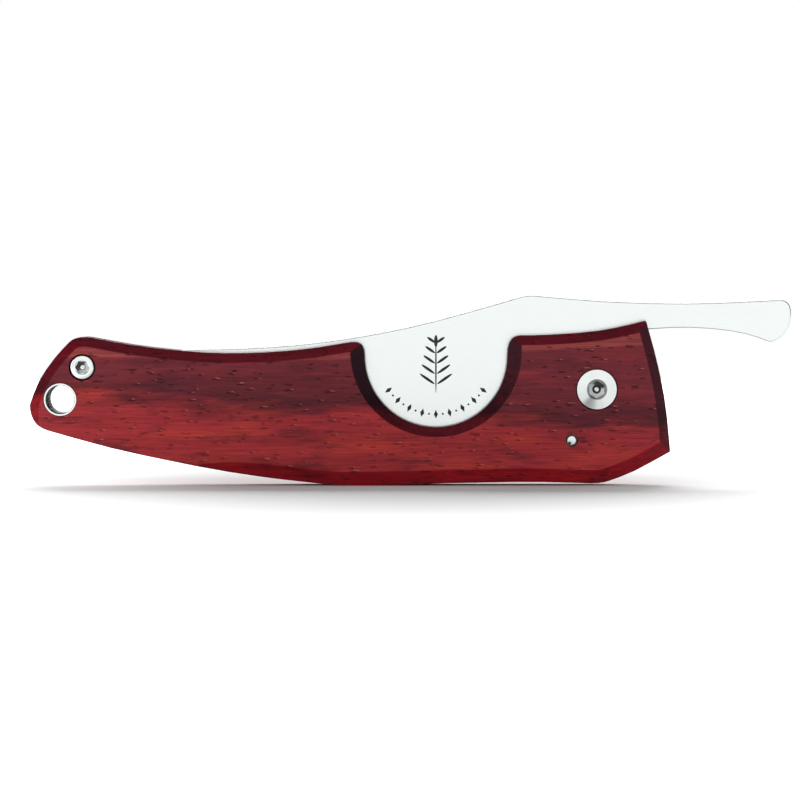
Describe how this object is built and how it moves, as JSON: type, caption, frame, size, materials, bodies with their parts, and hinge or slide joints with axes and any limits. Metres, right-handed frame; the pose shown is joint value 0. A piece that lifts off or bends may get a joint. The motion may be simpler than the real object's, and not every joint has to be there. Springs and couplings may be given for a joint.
{
  "type": "folding cigar cutter knife",
  "caption": "Friction-folding knife with wooden scales, a half-moon notch that the closing blade shears across, a lanyard tube and a long finger tail on the tang.",
  "frame": {"origin": "centre of the closed knife's outline in X and Y, at the handle's lowest point in Z", "axes": "+X from the lanyard hole to the blade's tail, +Y from the front scale to the rear scale, +Z from the handle's closed lower edge to the blade's spine"},
  "size_m": [0.1254, 0.0116, 0.0312],
  "materials": {
    "wood": "oiled, open-pored red hardwood",
    "liner_steel": "fine brushed",
    "blade_steel": "satin polished",
    "screw_steel": "turned and polished",
    "tube_steel": "polished",
    "washer_bronze": "plain"
  },
  "bodies": {
    "handle": {"front_scale": "wood", "rear_scale": "wood", "front_liner": "liner_steel", "rear_liner": "liner_steel", "tail_spacer": "liner_steel", "front_pivot_washer": "washer_bronze", "rear_pivot_washer": "washer_bronze", "pivot_sleeve": "screw_steel", "front_pivot_screw": "screw_steel", "rear_pivot_screw": "screw_steel", "tail_sleeve": "screw_steel", "front_tail_screw": "screw_steel", "rear_tail_screw": "screw_steel", "stop_pin": "screw_steel", "lanyard_tube": "tube_steel"},
    "blade": {"blade": "blade_steel"}
  },
  "joints": [
    {"name": "blade_pivot", "type": "hinge", "parent": "handle", "child": "blade", "pos_m": [0.03049, 0, 0.01582], "axis": [0, 1, 0], "range_deg": [0, 180]}
  ]
}
